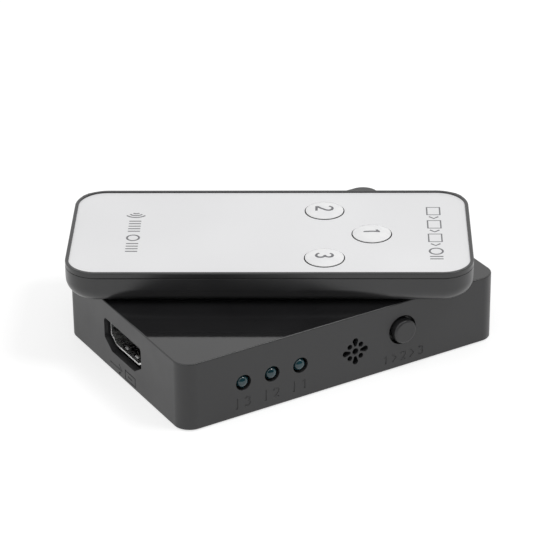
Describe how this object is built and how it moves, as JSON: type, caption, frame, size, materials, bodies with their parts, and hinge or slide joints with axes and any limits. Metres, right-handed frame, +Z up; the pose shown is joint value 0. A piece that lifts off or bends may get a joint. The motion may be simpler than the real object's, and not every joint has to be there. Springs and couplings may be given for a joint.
{
  "type": "hdmi switch box",
  "caption": "Slim rectangular video switch box with end and rear sockets, status lights, a receiver grille and a select button, with its card-style remote control resting across the roof.",
  "frame": {"origin": "centre of the switch box's footprint, on the surface that its feet stand on", "axes": "+X to the right along the front, +Y from the front to the row of input sockets, +Z up"},
  "size_m": [0.0886, 0.0735, 0.0237],
  "materials": {
    "case_plastic": "moulded, semi-gloss with a polished roof",
    "cover_plastic": "moulded, fine texture",
    "screw_steel": "zinc, dark",
    "foot_rubber": "matt",
    "board_green": "solder mask",
    "shell_metal": "nickel-plated sheet",
    "insulator_black": "moulded",
    "contact_gold": "gold flash",
    "light_lens": "tinted resin",
    "dark_resin": "moulded resin",
    "tinned_lead": "tinned",
    "button_plastic": "moulded, satin",
    "can_metal": "bare",
    "ceramic_tan": "fired ceramic",
    "remote_plastic": "moulded, satin gloss",
    "face_film": "silver-white printed film",
    "key_film": "white, embossed",
    "cell_steel": "nickel-plated"
  },
  "bodies": {
    "switch_box": {"top_case": "case_plastic", "bottom_cover": "cover_plastic", "case_screws": "screw_steel", "rubber_feet": "foot_rubber", "main_board": "board_green", "power_jack": "insulator_black", "power_jack_pin": "shell_metal", "light_leads": "tinned_lead", "infrared_receiver": "dark_resin", "receiver_leads": "tinned_lead", "select_switch": "dark_resin", "switch_chip": "dark_resin", "switch_chip_pins": "tinned_lead", "control_chip": "dark_resin", "crystal": "can_metal", "capacitors": "can_metal", "small_components": "ceramic_tan", "output_shell": "shell_metal", "output_insulator": "insulator_black", "output_contacts": "contact_gold", "input_1_shell": "shell_metal", "input_1_insulator": "insulator_black", "input_1_contacts": "contact_gold", "input_2_shell": "shell_metal", "input_2_insulator": "insulator_black", "input_2_contacts": "contact_gold", "input_3_shell": "shell_metal", "input_3_insulator": "insulator_black", "input_3_contacts": "contact_gold", "status_light_1": "light_lens", "status_light_2": "light_lens", "status_light_3": "light_lens"},
    "select_button": {"select_button": "button_plastic", "switch_plunger": "insulator_black"},
    "remote": {"remote_lower_shell": "remote_plastic", "remote_upper_shell": "remote_plastic", "remote_face_plate": "face_film", "remote_board": "board_green", "snap_domes": "cell_steel", "remote_chip": "dark_resin", "resonator": "ceramic_tan", "infrared_emitter": "dark_resin", "emitter_leads": "tinned_lead", "remote_lens": "dark_resin", "battery_contacts": "contact_gold"},
    "remote_button_1": {"remote_button_1": "key_film"},
    "remote_button_2": {"remote_button_2": "key_film"},
    "remote_button_3": {"remote_button_3": "key_film"},
    "battery_tray": {"battery_tray": "remote_plastic", "coin_cell": "cell_steel"}
  },
  "joints": [
    {"name": "select_press", "type": "slide", "parent": "switch_box", "child": "select_button", "axis": [0, 1, 0], "range_m": [0, 0.0005], "stiffness_N_per_m": 400},
    {"name": "remote_lift", "type": "slide", "parent": "switch_box", "child": "remote", "axis": [0, 0, 1], "range_m": [0, 0.06]},
    {"name": "tray_slide", "type": "slide", "parent": "remote", "child": "battery_tray", "axis": [-0.8504, 0.5261, 0], "range_m": [0, 0.022]},
    {"name": "key_press_1", "type": "slide", "parent": "remote", "child": "remote_button_1", "axis": [0, 0, -1], "range_m": [0, 0.00025], "stiffness_N_per_m": 600},
    {"name": "key_press_2", "type": "slide", "parent": "remote", "child": "remote_button_2", "axis": [0, 0, -1], "range_m": [0, 0.00025], "stiffness_N_per_m": 600},
    {"name": "key_press_3", "type": "slide", "parent": "remote", "child": "remote_button_3", "axis": [0, 0, -1], "range_m": [0, 0.00025], "stiffness_N_per_m": 600}
  ]
}
